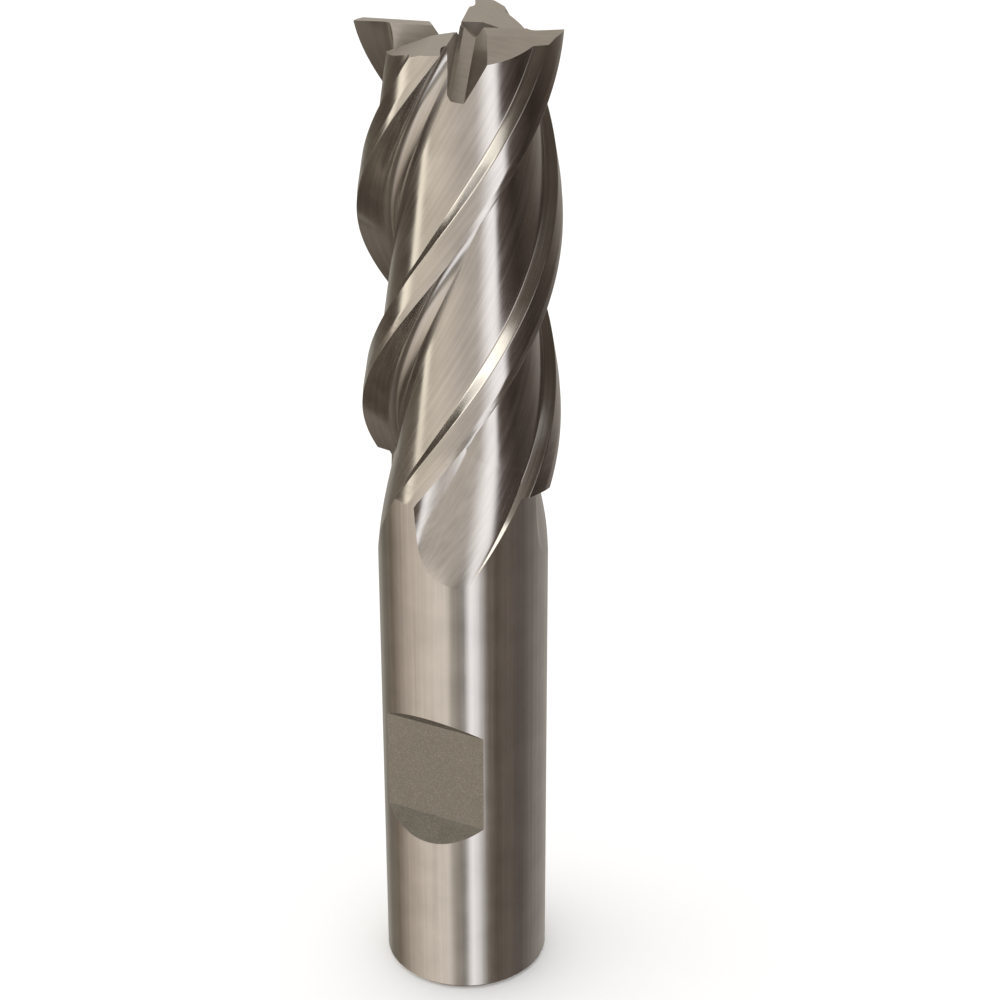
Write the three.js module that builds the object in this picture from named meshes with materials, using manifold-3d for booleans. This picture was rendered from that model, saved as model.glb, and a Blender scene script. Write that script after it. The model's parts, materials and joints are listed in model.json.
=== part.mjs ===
// Single-end, square-end, four-flute end mill with a right-hand helix and a side-lock shank.
// Millimetres. The origin is the centre of the shank's end face and +Z runs to the cutting end.
// The flat of the shank faces -Y.
import * as THREE from "three";
import { mergeVertices } from "three/addons/utils/BufferGeometryUtils.js";
import Module from "manifold-3d";

// Overall sizes
const OVERALL_LENGTH = 95.25;
const SHANK_DIAMETER = 15.875;
const CUTTING_DIAMETER = 18;
const LENGTH_OF_CUT = 41.8;
const WELD_HEIGHT = 38;

// Shank
const SHANK_CHAMFER = 0.45;
const FLAT_DEPTH = 1.9;
const FLAT_LENGTH = 10.16;
const FLAT_CENTRE = 24;
const FLAT_RAMP_ANGLE = 45;

// Flutes and teeth. An arc is in degrees behind the cutting edge, and a drop is below its circle.
const FLUTE_COUNT = 4;
const HELIX_LEAD = 75;
const FIRST_EDGE_ANGLE = 18.3;
const HOOK_ANGLE = 8;
const ROOT_RADIUS = 5.6;
const ROOT_FILLET = 1.3;
const ROOT_START = 13;
const BACK_CURVE = 0.95;
const HEEL_ARC = 20.5;
const HEEL_DROP = 1.6;
const SECONDARY_ARC = 16.3;
const SECONDARY_DROP = 0.48;
const PRIMARY_ARC = 4.6;
const PRIMARY_DROP = 0.07;
const MARGIN_ARC = 0.3;
const STEP_CHAMFER = 0.3;

// Run-out: the floor of each flute rises to the shank surface below the teeth
const FLUTE_BOTTOM = 43;
const RUNOUT_BOTTOM = 44.5;
const RUNOUT_LENGTH = 11;
const RUNOUT_STRETCH = 2;
const RUNOUT_CURVE = 1.5;
const RUNOUT_LEAN = 6.2;
const RUNOUT_LEAN_START = 2.2;
const RUNOUT_LEAN_ARC = 4.5;
const RUNOUT_LEAN_LIMIT = 0.4;
const RUNOUT_TOP = 61;
const RUNOUT_SIDE_ARC = 12;
const RUNOUT_SINK = 0.03;
const RUNOUT_CREST = 0.2;

// End teeth. The gashes of two opposite teeth pass the centre, and the other two stop short of it.
const DISH_ANGLE = 1.2;
const END_PRIMARY_ANGLE = 6;
const END_PRIMARY_WIDTH = 1.8;
const END_SECONDARY_ANGLE = 20;
const GASH_ANGLE = 30.5;
const GASH_FLOOR = 1.45;
const GASH_CORNER = 0.3;
const GASH_WALL_ANGLE = 34;
const GASH_LONG = { depth: 1.2, pastCentre: 1.7 };
const GASH_SHORT = { depth: 0.35, pastCentre: 0.4 };

// Fineness of the round and twisted surfaces
const ROUND_SIDES = 96;
const TWIST_STEPS = 42;
const FILLET_STEPS = 4;
const BACK_STEPS = 6;
const LAND_STEPS = 2;
const RUNOUT_SIDES = 72;
const RUNOUT_STEPS = 14;

// How far a cutting shape runs past the metal that it removes
const OVERRUN = 1;

const wasm = await Module();
wasm.setup();

const rad = THREE.MathUtils.degToRad;
const cuttingRadius = CUTTING_DIAMETER / 2;
const shankRadius = SHANK_DIAMETER / 2;
const pitchAngle = 360 / FLUTE_COUNT;
const toothEnd = OVERALL_LENGTH - LENGTH_OF_CUT;

function solidFrom(geometry) {
  const bare = geometry.clone();
  bare.deleteAttribute("normal");
  bare.deleteAttribute("uv");
  const merged = mergeVertices(bare, 1e-4);
  return new wasm.Manifold(
    new wasm.Mesh({
      numProp: 3,
      vertProperties: new Float32Array(merged.attributes.position.array),
      triVerts: new Uint32Array(merged.index.array),
    }),
  );
}

function geometryFrom(solid) {
  const mesh = solid.getMesh();
  const geometry = new THREE.BufferGeometry();
  geometry.setAttribute("position", new THREE.BufferAttribute(mesh.vertProperties, 3));
  geometry.setIndex(new THREE.BufferAttribute(mesh.triVerts, 1));
  geometry.computeVertexNormals();
  return geometry;
}

// Direction of a cutting edge at a height: it turns with the helix.
function edgeAngle(index, height) {
  return FIRST_EDGE_ANGLE + index * pitchAngle + ((height - OVERALL_LENGTH) * 360) / HELIX_LEAD;
}

function polar(radius, degrees) {
  return new THREE.Vector2(radius * Math.cos(rad(degrees)), radius * Math.sin(rad(degrees)));
}

// A turned body about Z from a closed profile of radius and height, started and ended on the axis.
function turned(profile) {
  const points = profile.map(([radius, height]) => new THREE.Vector2(radius, height));
  return new THREE.LatheGeometry(points, ROUND_SIDES).rotateX(Math.PI / 2);
}

function prism(outline, depth) {
  return new THREE.ExtrudeGeometry(new THREE.Shape(outline), {
    depth,
    steps: 1,
    bevelEnabled: false,
  });
}

// Points of a spiral from the last point of an outline to a radius and a direction.
function spiral(outline, radius, degrees, steps, curve = 1) {
  const from = outline.at(-1);
  const startRadius = from.length();
  const startDegrees = THREE.MathUtils.radToDeg(from.angle());
  for (let i = 1; i <= steps; i++) {
    const share = i / steps;
    const height = THREE.MathUtils.lerp(startRadius, radius, share ** curve);
    outline.push(polar(height, THREE.MathUtils.lerp(startDegrees, degrees, share)));
  }
}

// Outline of the space between one cutting edge and the next, seen from the cutting end.
// It starts on the rake face, goes round the root, up the back of the flute and over the land.
function fluteSpace() {
  const hook = Math.tan(rad(HOOK_ANGLE));
  const rakeFace = (radius) => {
    return new THREE.Vector2(radius, (radius - cuttingRadius) * hook);
  };
  const top = rakeFace(cuttingRadius + OVERRUN);
  const filletStart = rakeFace(ROOT_RADIUS + ROOT_FILLET);
  const corner = rakeFace(ROOT_RADIUS);
  const filletEnd = polar(ROOT_RADIUS, ROOT_START);
  const space = new THREE.Path();
  space.moveTo(top.x, top.y);
  space.lineTo(filletStart.x, filletStart.y);
  space.quadraticCurveTo(corner.x, corner.y, filletEnd.x, filletEnd.y);
  const outline = space.getPoints(FILLET_STEPS);
  const heelBottom = cuttingRadius - HEEL_DROP;
  spiral(outline, heelBottom, pitchAngle - HEEL_ARC, BACK_STEPS, BACK_CURVE);
  spiral(outline, cuttingRadius - SECONDARY_DROP, pitchAngle - SECONDARY_ARC, 1);
  spiral(outline, cuttingRadius - PRIMARY_DROP, pitchAngle - PRIMARY_ARC, LAND_STEPS);
  const landEnd = pitchAngle - MARGIN_ARC;
  spiral(outline, cuttingRadius, landEnd, 1);
  outline.push(polar(cuttingRadius + OVERRUN, landEnd));
  const closingSides = 5;
  for (let i = 1; i < closingSides; i++) {
    outline.push(polar(cuttingRadius + 2 * OVERRUN, landEnd * (1 - i / closingSides)));
  }
  return outline;
}

// The flute space swept along the helix, from the shank to above the end.
function helicalFlute(index) {
  const geometry = new THREE.ExtrudeGeometry(new THREE.Shape(fluteSpace()), {
    depth: OVERALL_LENGTH + OVERRUN - FLUTE_BOTTOM,
    steps: TWIST_STEPS,
    bevelEnabled: false,
  });
  const position = geometry.attributes.position;
  const point = new THREE.Vector3();
  const axis = new THREE.Vector3(0, 0, 1);
  for (let i = 0; i < position.count; i++) {
    point.fromBufferAttribute(position, i);
    point.z += FLUTE_BOTTOM;
    point.applyAxisAngle(axis, rad(edgeAngle(index, point.z)));
    position.setXYZ(i, point.x, point.y, point.z);
  }
  return solidFrom(geometry);
}

// Radius of the back of a flute, at an arc ahead of the cutting edge.
function backRadius(ahead) {
  const backArc = pitchAngle - HEEL_ARC - ROOT_START;
  const share = THREE.MathUtils.clamp((ahead - ROOT_START) / backArc, 0, 1);
  return THREE.MathUtils.lerp(ROOT_RADIUS, cuttingRadius - HEEL_DROP, share ** BACK_CURVE);
}

// Floor radius of the run-out: the back of the flute, lifted to the shank surface. The rise is
// longest and ends highest beside the end of the cutting edge. Each flute is measured from its own
// cutting edge, and then from where that edge stops at the end of the teeth.
function floorRadius(azimuth, height) {
  const fromSide = azimuth - edgeAngle(0, height) + RUNOUT_SIDE_ARC;
  const ahead = THREE.MathUtils.euclideanModulo(fromSide, pitchAngle) - RUNOUT_SIDE_ARC;
  const arc = ahead + edgeAngle(0, height) - edgeAngle(0, toothEnd);
  const widening = Math.max(RUNOUT_LEAN_LIMIT, 1 + (arc + RUNOUT_LEAN_START) / RUNOUT_LEAN_ARC);
  const length = RUNOUT_LENGTH * (1 + RUNOUT_STRETCH / widening);
  const riseStart = RUNOUT_BOTTOM + length + RUNOUT_LEAN / widening;
  const share = Math.max(0, riseStart - height) / length;
  const lowest = backRadius(ahead) - RUNOUT_SINK;
  return lowest + (shankRadius - lowest) * share ** RUNOUT_CURVE;
}

// Metal left standing below the flutes: a bar whose surface follows the rising floors.
function runoutCore() {
  const height = RUNOUT_TOP - FLUTE_BOTTOM + OVERRUN;
  const geometry = new THREE.CylinderGeometry(1, 1, height, RUNOUT_SIDES, RUNOUT_STEPS);
  geometry.rotateX(Math.PI / 2).translate(0, 0, RUNOUT_TOP - height / 2);
  const position = geometry.attributes.position;
  for (let i = 0; i < position.count; i++) {
    const x = position.getX(i);
    const y = position.getY(i);
    const z = position.getZ(i);
    const azimuth = THREE.MathUtils.radToDeg(Math.atan2(y, x));
    const radius = Math.min(floorRadius(azimuth, z), shankRadius + RUNOUT_CREST);
    position.setXYZ(i, x * radius, y * radius, z);
  }
  return solidFrom(geometry);
}

// Matrix for a cutter whose X points ahead of the edge, Y up and Z outward along the edge.
function alongEdge(index, fall, centreDrop) {
  const azimuth = rad(FIRST_EDGE_ANGLE + index * pitchAngle);
  const ahead = new THREE.Vector3(-Math.sin(azimuth), Math.cos(azimuth), 0);
  const outward = new THREE.Vector3(Math.cos(azimuth), Math.sin(azimuth), 0);
  const run = outward.clone().multiplyScalar(Math.cos(rad(fall)));
  run.z = -Math.sin(rad(fall));
  const up = new THREE.Vector3().crossVectors(run, ahead);
  const place = new THREE.Matrix4().makeBasis(ahead, up, run);
  place.setPosition(0, 0, OVERALL_LENGTH - centreDrop);
  return place;
}

// Relief behind one end tooth: a narrow primary facet, then a steeper secondary facet.
function endRelief(index) {
  const reach = 12;
  const height = 4;
  const primaryFall = END_PRIMARY_WIDTH * Math.tan(rad(END_PRIMARY_ANGLE));
  const secondaryFall = (reach - END_PRIMARY_WIDTH) * Math.tan(rad(END_SECONDARY_ANGLE));
  const outline = [
    new THREE.Vector2(0, 0),
    new THREE.Vector2(0, height),
    new THREE.Vector2(-reach, height),
    new THREE.Vector2(-reach, -primaryFall - secondaryFall),
    new THREE.Vector2(-END_PRIMARY_WIDTH, -primaryFall),
  ];
  const dishDrop = cuttingRadius * Math.tan(rad(DISH_ANGLE));
  const place = alongEdge(index, -DISH_ANGLE, dishDrop);
  return solidFrom(prism(outline, CUTTING_DIAMETER).applyMatrix4(place));
}

// Gash ahead of one end tooth, falling outward from near the centre into the flute.
function gash(index) {
  const { depth, pastCentre } = index % 2 === 1 ? GASH_LONG : GASH_SHORT;
  const height = 9;
  const lean = (height * Math.tan(rad(GASH_WALL_ANGLE))) / Math.cos(rad(GASH_ANGLE));
  const outline = [
    new THREE.Vector2(0, GASH_CORNER),
    new THREE.Vector2(GASH_CORNER, 0),
    new THREE.Vector2(GASH_FLOOR, 0),
    new THREE.Vector2(GASH_FLOOR + lean, height),
    new THREE.Vector2(0, height),
  ];
  const cutter = prism(outline, CUTTING_DIAMETER).translate(0, 0, -pastCentre);
  return solidFrom(cutter.applyMatrix4(alongEdge(index, GASH_ANGLE, depth)));
}

function cuttingBlank() {
  const blank = [
    [0, WELD_HEIGHT],
    [shankRadius, WELD_HEIGHT],
    [shankRadius, toothEnd],
    [cuttingRadius, toothEnd + STEP_CHAMFER],
    [cuttingRadius, OVERALL_LENGTH],
    [0, OVERALL_LENGTH],
  ];
  return solidFrom(turned(blank));
}

function cuttingBody() {
  const flutes = [];
  const endCuts = [];
  for (let i = 0; i < FLUTE_COUNT; i++) {
    flutes.push(helicalFlute(i));
    endCuts.push(endRelief(i), gash(i));
  }
  const grooves = wasm.Manifold.union(flutes).subtract(runoutCore());
  const removed = grooves.add(wasm.Manifold.union(endCuts));
  return geometryFrom(cuttingBlank().subtract(removed));
}

function sideLockFlat() {
  const half = FLAT_LENGTH / 2;
  const floor = shankRadius - FLAT_DEPTH;
  const outside = shankRadius + OVERRUN;
  const ramp = (outside - floor) / Math.tan(rad(FLAT_RAMP_ANGLE));
  const outline = [
    new THREE.Vector2(floor, FLAT_CENTRE - half),
    new THREE.Vector2(outside, FLAT_CENTRE - half - ramp),
    new THREE.Vector2(outside, FLAT_CENTRE + half + ramp),
    new THREE.Vector2(floor, FLAT_CENTRE + half),
  ];
  const width = SHANK_DIAMETER + 2 * OVERRUN;
  const cutter = prism(outline, width).translate(0, 0, -width / 2);
  const place = new THREE.Matrix4().makeBasis(
    new THREE.Vector3(0, -1, 0),
    new THREE.Vector3(0, 0, 1),
    new THREE.Vector3(-1, 0, 0),
  );
  return solidFrom(cutter.applyMatrix4(place));
}

function shankBody() {
  const bar = [
    [0, 0],
    [shankRadius - SHANK_CHAMFER, 0],
    [shankRadius, SHANK_CHAMFER],
    [shankRadius, WELD_HEIGHT],
    [0, WELD_HEIGHT],
  ];
  return geometryFrom(solidFrom(turned(bar)).subtract(sideLockFlat()));
}

function named(name, geometry, color, roughness, metalness) {
  const material = new THREE.MeshStandardMaterial({ color, roughness, metalness });
  const mesh = new THREE.Mesh(geometry, material);
  mesh.name = name;
  return mesh;
}

const endMill = new THREE.Group();
endMill.name = "end_mill";
endMill.add(named("cutting_body", cuttingBody(), 0xa59c92, 0.3, 0.95));
endMill.add(named("shank", shankBody(), 0xb3a99e, 0.28, 0.95));

export default endMill;
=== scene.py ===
"""A square-end, four-flute end mill with a side-lock shank, standing on a pale floor.

Both pieces are made in millimetres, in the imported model's frame, and scaled to metres at the end.
"""

import json
import math

import bmesh
import bpy
import numpy as np
from mathutils import Matrix, Vector


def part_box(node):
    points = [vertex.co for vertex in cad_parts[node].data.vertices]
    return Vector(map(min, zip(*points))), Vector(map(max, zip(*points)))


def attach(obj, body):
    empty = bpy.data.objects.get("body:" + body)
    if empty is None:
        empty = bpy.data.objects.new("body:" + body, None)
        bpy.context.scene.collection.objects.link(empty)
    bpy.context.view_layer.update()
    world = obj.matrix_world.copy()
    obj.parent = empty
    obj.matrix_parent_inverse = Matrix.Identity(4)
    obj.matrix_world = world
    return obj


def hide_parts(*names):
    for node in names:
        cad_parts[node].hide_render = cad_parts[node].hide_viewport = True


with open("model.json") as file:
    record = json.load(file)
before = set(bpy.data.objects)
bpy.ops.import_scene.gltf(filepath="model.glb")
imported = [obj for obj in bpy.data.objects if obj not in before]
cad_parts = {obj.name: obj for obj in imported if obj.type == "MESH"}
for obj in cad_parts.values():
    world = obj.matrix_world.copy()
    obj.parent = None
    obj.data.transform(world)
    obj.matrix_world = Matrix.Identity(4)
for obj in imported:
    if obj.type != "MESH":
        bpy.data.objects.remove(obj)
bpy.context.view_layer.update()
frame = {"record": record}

MM = 0.001

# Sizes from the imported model, in millimetres
CUTTER_LOW, CUTTER_HIGH = (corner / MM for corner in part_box("cutting_body"))
TOP = CUTTER_HIGH.z
WELD = CUTTER_LOW.z
SHANK_RADIUS = (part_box("shank")[1] / MM).x
CUTTING_RADIUS = min(CUTTER_HIGH.x, CUTTER_HIGH.y)

# Shank, in millimetres and degrees
SHANK_CHAMFER = 0.45
FLAT_MOUNT = {mount["name"]: mount for mount in frame["record"]["mounts"]}["weldon_flat"]["pos_m"]
FLAT_DEPTH = SHANK_RADIUS + FLAT_MOUNT[1] / MM
FLAT_CENTRE = FLAT_MOUNT[2] / MM
FLAT_LENGTH = 10.16
FLAT_RAMP_ANGLE = 45

# Flutes and teeth. An arc is in degrees behind the cutting edge, and a drop is below its circle.
# The step at the teeth's lower end rises by STEP_SLOPE for each millimetre outward.
LENGTH_OF_CUT = 41.8
TOOTH_END = TOP - LENGTH_OF_CUT
FLUTE_COUNT = 4
PITCH = 360 / FLUTE_COUNT
HELIX_LEAD = 75
FIRST_EDGE_ANGLE = 18.3
HOOK_ANGLE = 8
ROOT_RADIUS = 5.6
ROOT_FILLET = 1.3
ROOT_START = 13
BACK_CURVE = 0.95
HEEL_ARC = 20.5
HEEL_DROP = 1.6
SECONDARY_ARC = 16.3
SECONDARY_DROP = 0.48
PRIMARY_ARC = 4.6
PRIMARY_DROP = 0.07
MARGIN_ARC = 0.3
STEP_CHAMFER = 0.3
STEP_SLOPE = 0.28

# Run-out: the floor of each flute rises to the shank surface below the teeth. The rise is longest
# and ends highest beside the end of the cutting edge.
FLUTE_BOTTOM = 43
RUNOUT_BOTTOM = 44.5
RUNOUT_LENGTH = 11
RUNOUT_STRETCH = 2
RUNOUT_CURVE = 1.5
RUNOUT_LEAN = 6.2
RUNOUT_LEAN_START = 2.2
RUNOUT_LEAN_ARC = 4.5
RUNOUT_LEAN_LIMIT = 0.4
RUNOUT_TOP = 61
RUNOUT_SIDE_ARC = 12
RUNOUT_SINK = 0.03
RUNOUT_CREST = 0.2

# End teeth. The gashes of two opposite teeth pass the centre, and the other two stop short of it.
DISH_ANGLE = 1.2
END_PRIMARY_ANGLE = 6
END_PRIMARY_WIDTH = 1.8
END_SECONDARY_ANGLE = 20
GASH_ANGLE = 30.5
GASH_FLOOR = 1.45
GASH_CORNER = 0.3
GASH_WALL_ANGLE = 34
GASH_LONG = {"depth": 1.2, "past_centre": 1.7}
GASH_SHORT = {"depth": 0.35, "past_centre": 0.4}

# Fineness of the meshes, in millimetres, degrees, sides and steps
SPACING = 0.2
RING_STEP = 0.3
ROUND_SIDES = 480
FILLET_STEPS = 10
HEEL_STEPS = 5
CORE_SIDES = 360
CORE_STEP = 0.15

# Corners that turn by more than this many degrees are rounded off, except the cutting edges
SHARP_TURN = 9
CORNER_REACH = 0.07
CORNER_SHARE = 0.45
CORNER_STEPS = 5
EDGE_TOLERANCE = 0.01

# How far a cutting shape runs past the metal that it removes
OVERRUN = 1.0

# Angles in degrees between two faces above which the edge between them is shaded sharp
FLAT_CREASE = 2
ROUND_CREASE = 28

# Surfaces of the cutting body, in the order of its material slots
SHANK_SURFACE, FLUTE_SURFACE, LAND_SURFACE, END_SURFACE, FLAT_SURFACE = range(5)


def edge_angle(height):
    """Direction of the first cutting edge at a height, in degrees."""
    return FIRST_EDGE_ANGLE + (height - TOP) * 360 / HELIX_LEAD


def polar(radius, degrees):
    return np.array([radius * np.cos(np.radians(degrees)), radius * np.sin(np.radians(degrees))])


def spiral(start, end, curve=1.0):
    """Points from one (radius, degrees) to another, evenly spaced in angle."""
    length = np.hypot(end[0] - start[0], np.radians(end[1] - start[1]) * end[0])
    share = np.linspace(0, 1, max(2, int(length / SPACING) + 2))
    radius = start[0] + (end[0] - start[0]) * share**curve
    return [polar(r, a) for r, a in zip(radius, start[1] + (end[1] - start[1]) * share)]


def bend(start, corner, end, steps):
    """Points of a quadratic curve, without its first one."""
    share = np.linspace(0, 1, steps + 1)[1:, None]
    return list((1 - share) ** 2 * start + 2 * share * (1 - share) * corner + share**2 * end)


def eased(points, kinds):
    """The closed outline with each real corner but the cutting edges rounded off a little."""
    sharp_turn = math.radians(SHARP_TURN)
    out, out_kinds = [], []
    count = len(points)
    for i in range(count):
        before, here, after = points[i - 1], points[i], points[(i + 1) % count]
        into, away = here - before, after - here
        turn = abs(math.atan2(into[0] * away[1] - into[1] * away[0], into @ away))
        shorter = min(np.linalg.norm(into), np.linalg.norm(away))
        reach = min(CORNER_REACH, CORNER_SHARE * shorter)
        if turn < sharp_turn or np.linalg.norm(here) > CUTTING_RADIUS - EDGE_TOLERANCE:
            out.append(here)
            out_kinds.append(kinds[i])
            continue
        first = here - into / np.linalg.norm(into) * reach
        last = here + away / np.linalg.norm(away) * reach
        rounded = [first] + bend(first, here, last, CORNER_STEPS)
        out += rounded
        out_kinds += [kinds[i]] * len(rounded)
    return np.array(out), out_kinds


def tooth_outline():
    """Section from one cutting edge to the next, and the surface that each side of it is on."""
    hook = math.tan(math.radians(HOOK_ANGLE))

    def rake(radius):
        return np.array([radius, (radius - CUTTING_RADIUS) * hook])

    rake_steps = int((CUTTING_RADIUS - ROOT_RADIUS - ROOT_FILLET) / SPACING) + 1
    points = [rake(r) for r in np.linspace(CUTTING_RADIUS, ROOT_RADIUS + ROOT_FILLET, rake_steps)]
    points += bend(points[-1], rake(ROOT_RADIUS), polar(ROOT_RADIUS, ROOT_START), FILLET_STEPS)
    heel_bottom = (CUTTING_RADIUS - HEEL_DROP, PITCH - HEEL_ARC)
    heel_top = (CUTTING_RADIUS - SECONDARY_DROP, PITCH - SECONDARY_ARC)
    primary_start = (CUTTING_RADIUS - PRIMARY_DROP, PITCH - PRIMARY_ARC)
    margin_start = (CUTTING_RADIUS, PITCH - MARGIN_ARC)
    points += spiral((ROOT_RADIUS, ROOT_START), heel_bottom, BACK_CURVE)[1:]
    for share in np.linspace(0, 1, HEEL_STEPS + 1)[1:-1]:
        points.append(polar(*heel_top) * share + polar(*heel_bottom) * (1 - share))
    kinds = [FLUTE_SURFACE] * len(points)
    land = spiral(heel_top, primary_start) + spiral(primary_start, margin_start)[1:]
    return points + land, kinds + [LAND_SURFACE] * len(land)


def bar_section():
    tooth, tooth_kinds = tooth_outline()
    points, kinds = [], []
    for index in range(FLUTE_COUNT):
        angle = math.radians(index * PITCH)
        turn = np.array([[math.cos(angle), math.sin(angle)], [-math.sin(angle), math.cos(angle)]])
        points += [point @ turn for point in tooth]
        kinds += tooth_kinds
    return eased(points, kinds)


def new_object(name, vertices, faces, kinds=None):
    mesh = bpy.data.meshes.new(name)
    mesh.from_pydata([tuple(v) for v in vertices], [], faces)
    if kinds is not None:
        mesh.polygons.foreach_set("material_index", kinds)
    mesh.validate()
    made = bpy.data.objects.new(name, mesh)
    bpy.context.scene.collection.objects.link(made)
    return made


def stacked(name, rings, kinds, cap_kind):
    """A closed solid from a stack of rings, lowest first, each anticlockwise from above."""
    rings = np.asarray(rings, float)
    height, around = rings.shape[:2]
    faces, face_kinds = [], []
    for level in range(height - 1):
        low = level * around
        for i in range(around):
            j = (i + 1) % around
            faces.append((low + i, low + j, low + around + j, low + around + i))
            face_kinds.append(kinds[i])
    faces.append(tuple(reversed(range(around))))
    faces.append(tuple(range((height - 1) * around, height * around)))
    face_kinds += [cap_kind, cap_kind]
    return new_object(name, rings.reshape(-1, 3), faces, face_kinds)


def fluted_bar():
    """The section swept up the helix, from below the flutes' run-out to above the end."""
    section, kinds = bar_section()
    heights = np.arange(FLUTE_BOTTOM, TOP + OVERRUN + RING_STEP, RING_STEP)
    rings = []
    for height in heights:
        angle = math.radians(edge_angle(height))
        turn = np.array([[math.cos(angle), math.sin(angle)], [-math.sin(angle), math.cos(angle)]])
        rings.append(np.column_stack([section @ turn, np.full(len(section), height)]))
    return stacked("fluted_bar", rings, kinds, END_SURFACE)


def back_radius(ahead):
    """Radius of the back of a flute, at an arc ahead of the cutting edge."""
    share = np.clip((ahead - ROOT_START) / (PITCH - HEEL_ARC - ROOT_START), 0, 1)
    return ROOT_RADIUS + (CUTTING_RADIUS - HEEL_DROP - ROOT_RADIUS) * share**BACK_CURVE


def floor_radius(azimuth, height):
    """Radius of the run-out's floor: the back of the flute, lifted to the shank surface."""
    ahead = np.mod(azimuth - edge_angle(height) + RUNOUT_SIDE_ARC, PITCH) - RUNOUT_SIDE_ARC
    arc = ahead + edge_angle(height) - edge_angle(TOOTH_END)
    widening = np.maximum(RUNOUT_LEAN_LIMIT, 1 + (arc + RUNOUT_LEAN_START) / RUNOUT_LEAN_ARC)
    length = RUNOUT_LENGTH * (1 + RUNOUT_STRETCH / widening)
    rise_start = RUNOUT_BOTTOM + length + RUNOUT_LEAN / widening
    share = np.maximum(0, rise_start - height) / length
    lowest = back_radius(ahead) - RUNOUT_SINK
    radius = lowest + (SHANK_RADIUS - lowest) * share**RUNOUT_CURVE
    return np.minimum(radius, SHANK_RADIUS + RUNOUT_CREST)


def runout_core():
    """Metal left standing below the flutes: a bar whose surface follows the rising floors."""
    azimuths = np.arange(CORE_SIDES) * 360 / CORE_SIDES
    rings = []
    for height in np.arange(FLUTE_BOTTOM - OVERRUN, RUNOUT_TOP, CORE_STEP):
        radius = floor_radius(azimuths, height)
        x = radius * np.cos(np.radians(azimuths))
        y = radius * np.sin(np.radians(azimuths))
        rings.append(np.column_stack([x, y, np.full(len(x), height)]))
    return stacked("runout_core", rings, [FLUTE_SURFACE] * len(azimuths), FLUTE_SURFACE)


def turned(name, profile, kind):
    """A solid turned about Z from a list of (radius, height), lowest first, with flat ends."""
    angles = np.radians(np.arange(ROUND_SIDES) * 360 / ROUND_SIDES)
    rings = [
        np.column_stack([r * np.cos(angles), r * np.sin(angles), np.full(len(angles), z)])
        for r, z in profile
    ]
    return stacked(name, rings, [kind] * ROUND_SIDES, kind)


def prism(name, outline, low, high, place, kind):
    """A straight prism from an anticlockwise outline, low to high along its own Z, then placed."""
    count = len(outline)
    corners = [(x, y, low) for x, y in outline] + [(x, y, high) for x, y in outline]
    faces = [tuple(reversed(range(count))), tuple(range(count, 2 * count))]
    faces += [(i, (i + 1) % count, (i + 1) % count + count, i + count) for i in range(count)]
    return new_object(name, [place @ Vector(c) for c in corners], faces, [kind] * len(faces))


def along_edge(index, fall, centre_drop):
    """Matrix for a cutter whose X points ahead of the edge, Y up and Z outward along the edge."""
    azimuth = math.radians(FIRST_EDGE_ANGLE + index * PITCH)
    fall = math.radians(fall)
    ahead = Vector((-math.sin(azimuth), math.cos(azimuth), 0))
    level = math.cos(fall)
    run = Vector((math.cos(azimuth) * level, math.sin(azimuth) * level, -math.sin(fall)))
    up = run.cross(ahead)
    place = Matrix((ahead, up, run)).transposed().to_4x4()
    place.translation = (0, 0, TOP - centre_drop)
    return place


def end_relief(index):
    """Relief behind one end tooth: a narrow primary facet, then a steeper secondary facet."""
    reach = 12
    height = 4
    primary_fall = END_PRIMARY_WIDTH * math.tan(math.radians(END_PRIMARY_ANGLE))
    secondary_fall = (reach - END_PRIMARY_WIDTH) * math.tan(math.radians(END_SECONDARY_ANGLE))
    outline = [
        (0, 0),
        (0, height),
        (-reach, height),
        (-reach, -primary_fall - secondary_fall),
        (-END_PRIMARY_WIDTH, -primary_fall),
    ]
    dish_drop = CUTTING_RADIUS * math.tan(math.radians(DISH_ANGLE))
    place = along_edge(index, -DISH_ANGLE, dish_drop)
    return prism("end_relief", outline, 0, 2 * CUTTING_RADIUS, place, END_SURFACE)


def gash(index):
    """Gash ahead of one end tooth, falling outward from near the centre into the flute."""
    size = GASH_LONG if index % 2 == 1 else GASH_SHORT
    height = 9
    lean = height * math.tan(math.radians(GASH_WALL_ANGLE)) / math.cos(math.radians(GASH_ANGLE))
    outline = [
        (0, GASH_CORNER),
        (GASH_CORNER, 0),
        (GASH_FLOOR, 0),
        (GASH_FLOOR + lean, height),
        (0, height),
    ]
    place = along_edge(index, GASH_ANGLE, size["depth"])
    return prism("gash", outline, -size["past_centre"], 2 * CUTTING_RADIUS, place, END_SURFACE)


def combine(target, tools, operation):
    """Joins, cuts or trims the target with each tool in turn, and removes the tools."""
    for tool in tools:
        step = target.modifiers.new("step", "BOOLEAN")
        step.operation = operation
        step.solver = "MANIFOLD"
        step.object = tool
        bpy.context.view_layer.update()
        evaluated = target.evaluated_get(bpy.context.evaluated_depsgraph_get())
        mesh = bpy.data.meshes.new_from_object(evaluated)
        target.modifiers.clear()
        target.data = mesh
        bpy.data.objects.remove(tool)
    return target


def cutting_blank():
    """The turned blank: as wide as the shank below the teeth, and clear of the teeth themselves."""
    outside = CUTTING_RADIUS + OVERRUN
    profile = [
        (SHANK_RADIUS, WELD),
        (SHANK_RADIUS, TOOTH_END),
        (outside, TOOTH_END + STEP_CHAMFER + OVERRUN * STEP_SLOPE),
        (outside, TOP),
    ]
    return turned("blank", profile, SHANK_SURFACE)


def plain_neck():
    """Solid metal below the flutes, wider than the blank that trims it."""
    lap = 0.5
    outside = SHANK_RADIUS + OVERRUN
    profile = [(outside, WELD - OVERRUN), (outside, FLUTE_BOTTOM + lap)]
    return turned("plain_neck", profile, SHANK_SURFACE)


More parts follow.
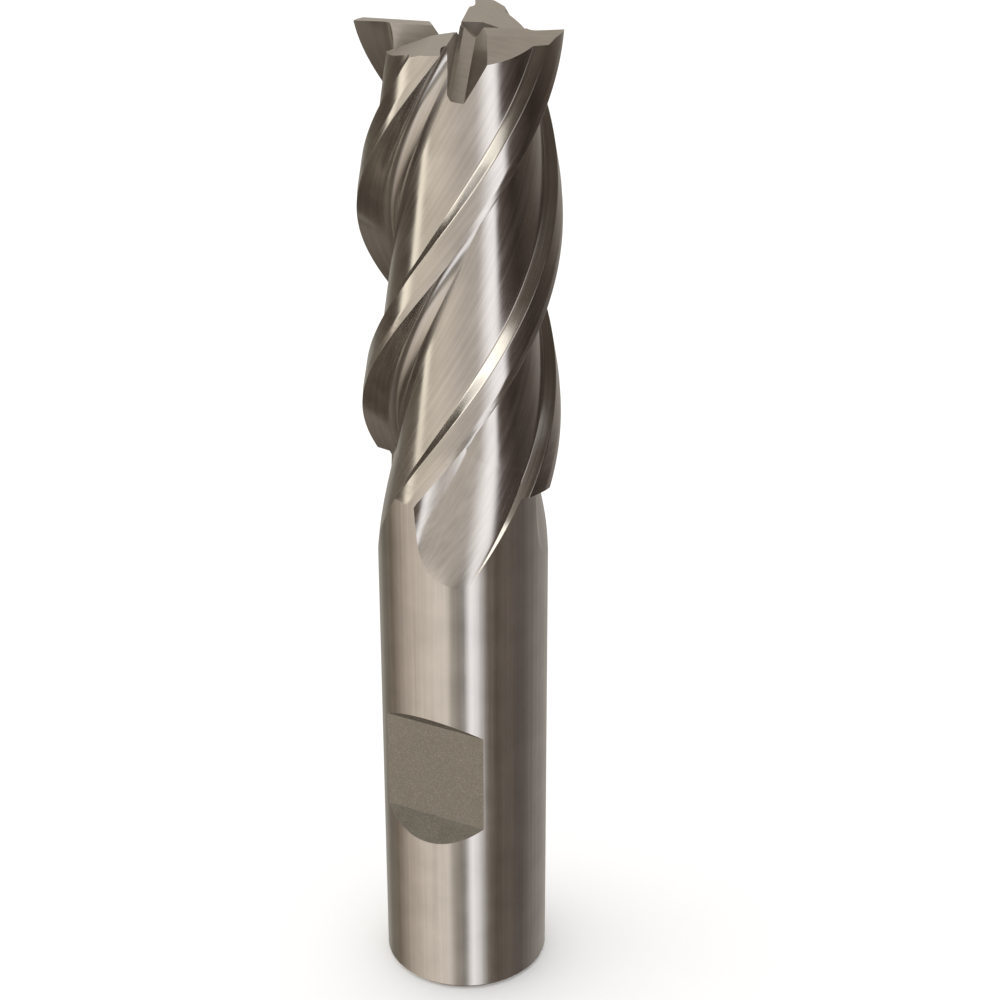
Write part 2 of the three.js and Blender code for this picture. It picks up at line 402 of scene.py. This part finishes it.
def cutting_body():
    body = combine(fluted_bar(), [runout_core(), plain_neck()], "UNION")
    body = combine(body, [cutting_blank()], "INTERSECT")
    reliefs = [end_relief(i) for i in range(FLUTE_COUNT)]
    gashes = [gash(i) for i in range(FLUTE_COUNT)]
    return combine(body, reliefs + gashes, "DIFFERENCE")


def side_lock_flat():
    """Cutter for the flat and its two end ramps, facing -Y, with its own Z across the shank."""
    floor = SHANK_RADIUS - FLAT_DEPTH
    outside = SHANK_RADIUS + OVERRUN
    ramp = (outside - floor) / math.tan(math.radians(FLAT_RAMP_ANGLE))
    half = FLAT_LENGTH / 2
    outline = [
        (floor, FLAT_CENTRE - half),
        (outside, FLAT_CENTRE - half - ramp),
        (outside, FLAT_CENTRE + half + ramp),
        (floor, FLAT_CENTRE + half),
    ]
    place = Matrix(((0, 0, -1, 0), (-1, 0, 0, 0), (0, 1, 0, 0), (0, 0, 0, 1)))
    width = SHANK_RADIUS + OVERRUN
    return prism("flat", outline, -width, width, place, FLAT_SURFACE)


def shank():
    corner = [(SHANK_RADIUS - SHANK_CHAMFER, 0), (SHANK_RADIUS, SHANK_CHAMFER)]
    bar = turned("shank_bar", corner + [(SHANK_RADIUS, WELD)], SHANK_SURFACE)
    return combine(bar, [side_lock_flat()], "DIFFERENCE")


def finished(made, name, materials, node):
    """Sets the shading edges, scales the piece to metres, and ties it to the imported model."""
    smallest_edge = 1e-5
    work = bmesh.new()
    work.from_mesh(made.data)
    bmesh.ops.dissolve_degenerate(work, dist=smallest_edge, edges=work.edges)
    for face in work.faces:
        face.smooth = True
    for edge in work.edges:
        edge.smooth = not is_sharp(edge)
    work.to_mesh(made.data)
    work.free()
    made.data.transform(Matrix.Scale(MM, 4))
    made.name = name
    made.data.name = name
    kinds = np.zeros(len(made.data.polygons), np.int32)
    made.data.polygons.foreach_get("material_index", kinds)
    made.data.materials.clear()
    for surface in materials:
        made.data.materials.append(surface)
    made.data.polygons.foreach_set("material_index", kinds)
    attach(made, "root")
    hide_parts(node)
    return made


def is_sharp(edge):
    if len(edge.link_faces) != 2:
        return True
    angle = math.degrees(edge.calc_face_angle(0))
    kinds = {face.material_index for face in edge.link_faces}
    flat_kinds = {END_SURFACE, FLAT_SURFACE}
    if kinds & flat_kinds:
        return len(kinds) > 1 or angle > FLAT_CREASE
    if SHANK_SURFACE in kinds and len(kinds) > 1:
        return True
    return angle > ROUND_CREASE


# Camera, in metres, degrees and millimetres: it stands in front of the tool, higher than its end,
# and looks down on it
CAMERA_DISTANCE = 0.20193
CAMERA_HEIGHT = 0.15373
CAMERA_AZIMUTH = -62.1
CAMERA_TILT = 27.121
CAMERA_PAN = 0.979
CAMERA_ROLL = -0.093
CAMERA_LENS = 88.3
CAMERA_SENSOR = 36
CAMERA_NEAREST = 0.01


def add_camera():
    camera = bpy.data.objects.new("camera", bpy.data.cameras.new("camera"))
    bpy.context.scene.collection.objects.link(camera)
    x, y = CAMERA_DISTANCE * polar(1, CAMERA_AZIMUTH)
    place = Matrix.Translation((x, y, CAMERA_HEIGHT))
    heading = math.radians(CAMERA_AZIMUTH + 90 - CAMERA_PAN)
    place = place @ Matrix.Rotation(heading, 4, "Z")
    place = place @ Matrix.Rotation(math.radians(90 - CAMERA_TILT), 4, "X")
    camera.matrix_world = place @ Matrix.Rotation(math.radians(CAMERA_ROLL), 4, "Z")
    camera.data.sensor_width = CAMERA_SENSOR
    camera.data.lens = CAMERA_LENS
    camera.data.clip_start = CAMERA_NEAREST
    bpy.context.scene.camera = camera


class Nodes:
    """Short calls for building one node tree."""

    def __init__(self, tree):
        self.tree = tree

    def add(self, kind, inputs=None, **settings):
        made = self.tree.nodes.new("ShaderNode" + kind)
        for key, value in settings.items():
            setattr(made, key, value)
        for key, value in (inputs or {}).items():
            self.put(value, made.inputs[key])
        return made

    def put(self, value, socket):
        if isinstance(value, bpy.types.NodeSocket):
            self.tree.links.new(value, socket)
        else:
            socket.default_value = value

    def math(self, operation, first, second=0.0, clamp=False):
        made = self.add("Math", {0: first, 1: second}, operation=operation, use_clamp=clamp)
        return made.outputs[0]

    def spread(self, value, low, high, low_out, high_out):
        made = self.add("MapRange", {0: value, 1: low, 2: high, 3: low_out, 4: high_out})
        return made.outputs[0]

    def scaled(self, vector, scale):
        made = self.add("VectorMath", {0: vector, 1: scale}, operation="MULTIPLY")
        return made.outputs[0]

    def noise(self, vector, scale, detail=2.0):
        made = self.add("TexNoise", {"Vector": vector, "Scale": scale, "Detail": detail})
        return made.outputs["Fac"]

    def mix(self, share, first, second):
        made = self.add("Mix", data_type="RGBA")
        first_colour, second_colour, mixed_colour = made.inputs[6], made.inputs[7], made.outputs[2]
        self.put(share, made.inputs["Factor"])
        self.put(first, first_colour)
        self.put(second, second_colour)
        return mixed_colour

    def bump(self, height, distance, normal=None):
        made = self.add("Bump", {"Height": height, "Distance": distance, "Strength": 1.0})
        if normal is not None:
            self.put(normal, made.inputs["Normal"])
        return made.outputs[0]

    def ramp(self, value, stops):
        made = self.add("ValToRGB", {"Fac": value})
        elements = made.color_ramp.elements
        elements[0].position, elements[0].color = stops[0][0], (*stops[0][1], 1)
        elements[1].position, elements[1].color = stops[-1][0], (*stops[-1][1], 1)
        for position, colour in stops[1:-1]:
            elements.new(position).color = (*colour, 1)
        return made.outputs["Color"]


# Every steel surface. Scales are per metre, and heights, radii and distances are in metres.
CLOUD_SCALE = 260.0
GRAIN_SCALE = 9000.0
GRAIN_HEIGHT = 0.000012
SPOT_COLOUR = (0.62, 0.59, 0.55, 1)
DARKER = 0.86
LIGHTER = 1.08
LINE_ROUGHNESS = 0.15

# Painted highlight on the edges: a paler colour where an edge would catch light. The cosines,
# between a face's normal and the one rounded over the radius, are where the highlight starts and
# where it is full. The weld distances are the same for the distance from the weld.
EDGE_HIGHLIGHT_RADIUS = 0.00012
EDGE_HIGHLIGHT_COSINES = (0.995, 0.9)
EDGE_HIGHLIGHT_SHARE = 0.5
EDGE_HIGHLIGHT_COLOUR = (0.83, 0.8, 0.76, 1)
EDGE_HIGHLIGHT_ROUGHNESS = 0.05
WELD_DISTANCES = (0.0003, 0.0005)


def object_place(nodes):
    return nodes.add("TexCoord").outputs["Object"]


def along_flutes(nodes):
    """Object coordinates untwisted by the helix: what runs along their Z runs along the flutes."""
    place = object_place(nodes)
    height = nodes.add("SeparateXYZ", {0: place}).outputs["Z"]
    turn = nodes.math("MULTIPLY", height, -2 * math.pi / (HELIX_LEAD * MM))
    made = nodes.add("VectorRotate", {"Vector": place, "Angle": turn}, rotation_type="Z_AXIS")
    return made.outputs["Vector"]


def paint_edge_highlight(nodes, cloud):
    """Painted highlight: how far each edge is painted paler, as where it would catch light.

    It fades out near the weld, so no painted highlight shows where the two pieces meet.
    """
    rounded = nodes.add("Bevel", {"Radius": EDGE_HIGHLIGHT_RADIUS}, samples=6).outputs[0]
    normal = nodes.add("NewGeometry").outputs["Normal"]
    match = nodes.add("VectorMath", {0: rounded, 1: normal}, operation="DOT_PRODUCT")
    edge = nodes.spread(match.outputs["Value"], *EDGE_HIGHLIGHT_COSINES, 0.0, EDGE_HIGHLIGHT_SHARE)
    painted_highlight = nodes.math("MULTIPLY", edge, nodes.spread(cloud, 0.35, 0.6, 0.2, 1.0), clamp=True)
    height = nodes.add("SeparateXYZ", {0: object_place(nodes)}).outputs["Z"]
    from_weld = nodes.math("ABSOLUTE", nodes.math("SUBTRACT", height, WELD * MM))
    return nodes.math("MULTIPLY", painted_highlight, nodes.spread(from_weld, *WELD_DISTANCES, 0.0, 1.0))


def steel(name, colour, roughness, lines, cross_lines, blotch, fluted=True, speckle=0.0):
    """Bare ground steel, with a highlight painted paler along its edges.

    lines and cross_lines are (coordinates per metre, bump height in metres). They follow the
    flutes if fluted, and the tool's axis if not. Roughness varies by blotch either way, in
    clouds, and speckle is the strength of small pale spots.
    """
    material = bpy.data.materials.new(name)
    material.use_nodes = True
    nodes = Nodes(material.node_tree)
    shader = material.node_tree.nodes["Principled BSDF"]
    shader.inputs["Metallic"].default_value = 1
    place = along_flutes(nodes) if fluted else object_place(nodes)
    fine = nodes.noise(nodes.scaled(place, lines[0]), 1.0, 3.0)
    across = nodes.noise(nodes.scaled(place, cross_lines[0]), 1.0, 2.0)
    cloud = nodes.noise(place, CLOUD_SCALE, 3.0)
    # Painted highlight: a mask of the edges, which are painted paler below
    painted_highlight = paint_edge_highlight(nodes, cloud)

    dark = tuple(c * DARKER for c in colour)
    light = tuple(min(1.0, c * LIGHTER) for c in colour)
    tone = nodes.math("ADD", nodes.math("MULTIPLY", fine, 0.5), nodes.math("MULTIPLY", cloud, 0.5))
    base = nodes.mix(nodes.spread(tone, 0.35, 0.65, 0.0, 1.0), (*dark, 1), (*light, 1))
    # Painted highlight: a paler colour on the edges, where they would catch light
    base = nodes.mix(painted_highlight, base, EDGE_HIGHLIGHT_COLOUR)
    if speckle:
        grain = nodes.noise(place, GRAIN_SCALE, 2.0)
        base = nodes.mix(nodes.spread(grain, 0.5, 0.72, 0.0, speckle), base, SPOT_COLOUR)
    nodes.put(base, shader.inputs["Base Color"])

    smoother, rougher = roughness * (1 - LINE_ROUGHNESS), roughness * (1 + LINE_ROUGHNESS)
    rough = nodes.spread(fine, 0.3, 0.7, smoother, rougher)
    rough = nodes.math("ADD", rough, nodes.spread(cloud, 0.3, 0.7, -blotch, blotch))
    rough = nodes.math("ADD", rough, nodes.math("MULTIPLY", painted_highlight, EDGE_HIGHLIGHT_ROUGHNESS))
    nodes.put(rough, shader.inputs["Roughness"])

    bump = nodes.bump(fine, lines[1])
    bump = nodes.bump(across, cross_lines[1], bump)
    if speckle:
        bump = nodes.bump(grain, GRAIN_HEIGHT, bump)
    nodes.put(bump, shader.inputs["Normal"])
    return material


def add_floor():
    half = 3.0
    corners = [(-half, -half, 0), (half, -half, 0), (half, half, 0), (-half, half, 0)]
    made = new_object("floor", corners, [(0, 1, 2, 3)])
    material = bpy.data.materials.new("floor")
    material.use_nodes = True
    shader = material.node_tree.nodes["Principled BSDF"]
    shader.inputs["Base Color"].default_value = (0.9, 0.9, 0.9, 1)
    shader.inputs["Roughness"].default_value = 0.8
    made.data.materials.append(material)
    made.visible_glossy = False
    made.visible_shadow = False


# What the steel reflects, which nothing else sees: soft walls round the tool in two rows, each with
# its colours by azimuth, in degrees anticlockwise from the camera's. WALLS is the lower row. The
# share of the upper one grows with elevation as UPPER_WALL_START says, and the share of both as
# WALL_HEIGHTS says. The rest is ABOVE_AND_BELOW, by elevation.
WALLS = [
    (-180, (0.42, 0.40, 0.36)),
    (-150, (0.34, 0.32, 0.28)),
    (-138, (0.20, 0.18, 0.15)),
    (-112, (0.22, 0.18, 0.14)),
    (-88, (0.55, 0.48, 0.41)),
    (-65, (0.75, 0.67, 0.58)),
    (-24, (0.93, 0.85, 0.77)),
    (-16, (0.40, 0.36, 0.31)),
    (0, (0.30, 0.28, 0.26)),
    (8, (1.40, 1.38, 1.42)),
    (17, (1.10, 1.08, 1.10)),
    (31, (0.20, 0.17, 0.14)),
    (45, (0.12, 0.10, 0.08)),
    (62, (0.17, 0.14, 0.12)),
    (85, (0.13, 0.11, 0.10)),
    (125, (0.31, 0.28, 0.26)),
    (180, (0.42, 0.40, 0.36)),
]
UPPER_WALLS = [
    (-180, (0.30, 0.28, 0.25)),
    (-150, (0.15, 0.13, 0.10)),
    (-104, (0.09, 0.07, 0.055)),
    (-97, (0.12, 0.10, 0.08)),
    (-93, (1.50, 1.40, 1.20)),
    (-88, (1.45, 1.34, 1.14)),
    (-80, (0.76, 0.69, 0.58)),
    (-60, (0.78, 0.71, 0.61)),
    (-24, (0.60, 0.54, 0.48)),
    (-4, (0.62, 0.57, 0.53)),
    (12, (1.30, 1.28, 1.30)),
    (24, (1.45, 1.43, 1.46)),
    (30, (0.12, 0.09, 0.08)),
    (60, (0.04, 0.03, 0.025)),
    (100, (0.10, 0.08, 0.065)),
    (140, (0.27, 0.25, 0.22)),
    (180, (0.30, 0.28, 0.25)),
]
UPPER_WALL_START = [(-19, 0.0), (-13, 1.0)]
WALL_HEIGHTS = [(-52, 0.0), (-40, 1.0), (14, 1.0), (34, 0.0)]
ABOVE_AND_BELOW = [
    (-90, (0.24, 0.21, 0.18)),
    (-60, (0.12, 0.10, 0.08)),
    (50, (0.08, 0.065, 0.05)),
    (78, (0.42, 0.37, 0.32)),
]

# The ramps hold the reflected colours as shares of BRIGHTEST, and the strength multiplies them back
BRIGHTEST = 1.5

# Strength of the plain white light that everything but a reflection sees
PLAIN_STRENGTH = 1.12


def by_azimuth(row):
    return [((a + 180) / 360, tuple(c / BRIGHTEST for c in colour)) for a, colour in row]


def by_elevation(row):
    return [((e + 90) / 180, tuple(c / BRIGHTEST for c in colour)) for e, colour in row]


def shares(row):
    return [((e + 90) / 180, (share, share, share)) for e, share in row]


def add_world():
    world = bpy.data.worlds.new("studio")
    bpy.context.scene.world = world
    world.use_nodes = True
    world.cycles.sampling_method = "NONE"
    nodes = Nodes(world.node_tree)
    direction = nodes.add("TexCoord").outputs["Generated"]
    turned_to_camera = nodes.add(
        "VectorRotate",
        {"Vector": direction, "Angle": math.radians(-CAMERA_AZIMUTH)},
        rotation_type="Z_AXIS",
    )
    parts = nodes.add("SeparateXYZ", {0: turned_to_camera.outputs[0]}).outputs
    azimuth = nodes.math("ARCTAN2", parts["Y"], parts["X"])
    around = nodes.spread(azimuth, -math.pi, math.pi, 0.0, 1.0)
    elevation = nodes.math("ARCSINE", parts["Z"])
    upward = nodes.spread(elevation, -math.pi / 2, math.pi / 2, 0.0, 1.0)

    lower_row = nodes.ramp(around, by_azimuth(WALLS))
    upper_row = nodes.ramp(around, by_azimuth(UPPER_WALLS))
    walls = nodes.mix(nodes.ramp(upward, shares(UPPER_WALL_START)), lower_row, upper_row)
    rest = nodes.ramp(upward, by_elevation(ABOVE_AND_BELOW))
    room = nodes.mix(nodes.ramp(upward, shares(WALL_HEIGHTS)), rest, walls)
    reflected = nodes.add("Background", {"Color": room, "Strength": BRIGHTEST})

    plain = world.node_tree.nodes["Background"]
    plain.inputs["Color"].default_value = (1, 1, 1, 1)
    plain.inputs["Strength"].default_value = PLAIN_STRENGTH
    glossy = nodes.add("LightPath").outputs["Is Glossy Ray"]
    both = nodes.add("MixShader", {0: glossy, 1: plain.outputs[0], 2: reflected.outputs[0]})
    output = world.node_tree.nodes["World Output"]
    world.node_tree.links.new(both.outputs[0], output.inputs["Surface"])


def add_softbox(name, azimuth, elevation, distance, size, radiance, colour):
    """An area light that faces the tool's middle, placed by its direction from the camera's."""
    light = bpy.data.lights.new(name, "AREA")
    light.shape = "RECTANGLE"
    light.size, light.size_y = size
    light.color = colour
    light.energy = radiance * math.pi * size[0] * size[1]
    made = bpy.data.objects.new(name, light)
    bpy.context.scene.collection.objects.link(made)
    a = math.radians(CAMERA_AZIMUTH + azimuth)
    e = math.radians(elevation)
    outward = Vector((math.cos(a) * math.cos(e), math.sin(a) * math.cos(e), math.sin(e)))
    made.location = outward * distance + Vector((0, 0, TOP * MM / 2))
    made.rotation_euler = outward.to_track_quat("Z", "Y").to_euler()
    made.visible_camera = False


add_camera()
add_floor()
add_world()
add_softbox(
    "key",
    azimuth=-90,
    elevation=24,
    distance=0.6,
    size=(0.6, 0.25),
    radiance=1.5,
    colour=(1, 0.97, 0.9),
)
add_softbox(
    "back",
    azimuth=180,
    elevation=38,
    distance=0.8,
    size=(1.5, 1.1),
    radiance=0.3,
    colour=(1, 0.9, 0.78),
)
bpy.context.scene.view_settings.view_transform = "Standard"

STEEL = (0.66, 0.635, 0.605)
MILLED_STEEL = (0.35, 0.33, 0.295)
SURFACES = [
    steel(
        "ground_shank",
        STEEL,
        roughness=0.17,
        lines=((2500, 2500, 30), 7e-7),
        cross_lines=((60, 60, 9000), 2e-7),
        blotch=0.02,
        fluted=False,
    ),
    steel(
        "ground_flutes",
        STEEL,
        roughness=0.19,
        lines=((3000, 3000, 60), 1.2e-6),
        cross_lines=((300, 300, 500), 3e-6),
        blotch=0.04,
    ),
    steel(
        "ground_lands",
        STEEL,
        roughness=0.17,
        lines=((2500, 2500, 200), 1e-6),
        cross_lines=((120, 120, 600), 3e-5),
        blotch=0.04,
    ),
    steel(
        "ground_ends",
        STEEL,
        roughness=0.36,
        lines=((3000, 300, 3000), 1e-6),
        cross_lines=((200, 200, 200), 2e-6),
        blotch=0.04,
    ),
    steel(
        "milled_flat",
        MILLED_STEEL,
        roughness=0.5,
        lines=((2000, 2000, 2000), 2e-6),
        cross_lines=((300, 300, 300), 2e-6),
        blotch=0.05,
        fluted=False,
        speckle=0.6,
    ),
]
finished(cutting_body(), "end_mill_cutter", SURFACES, "cutting_body")
finished(shank(), "end_mill_shank", SURFACES, "shank")
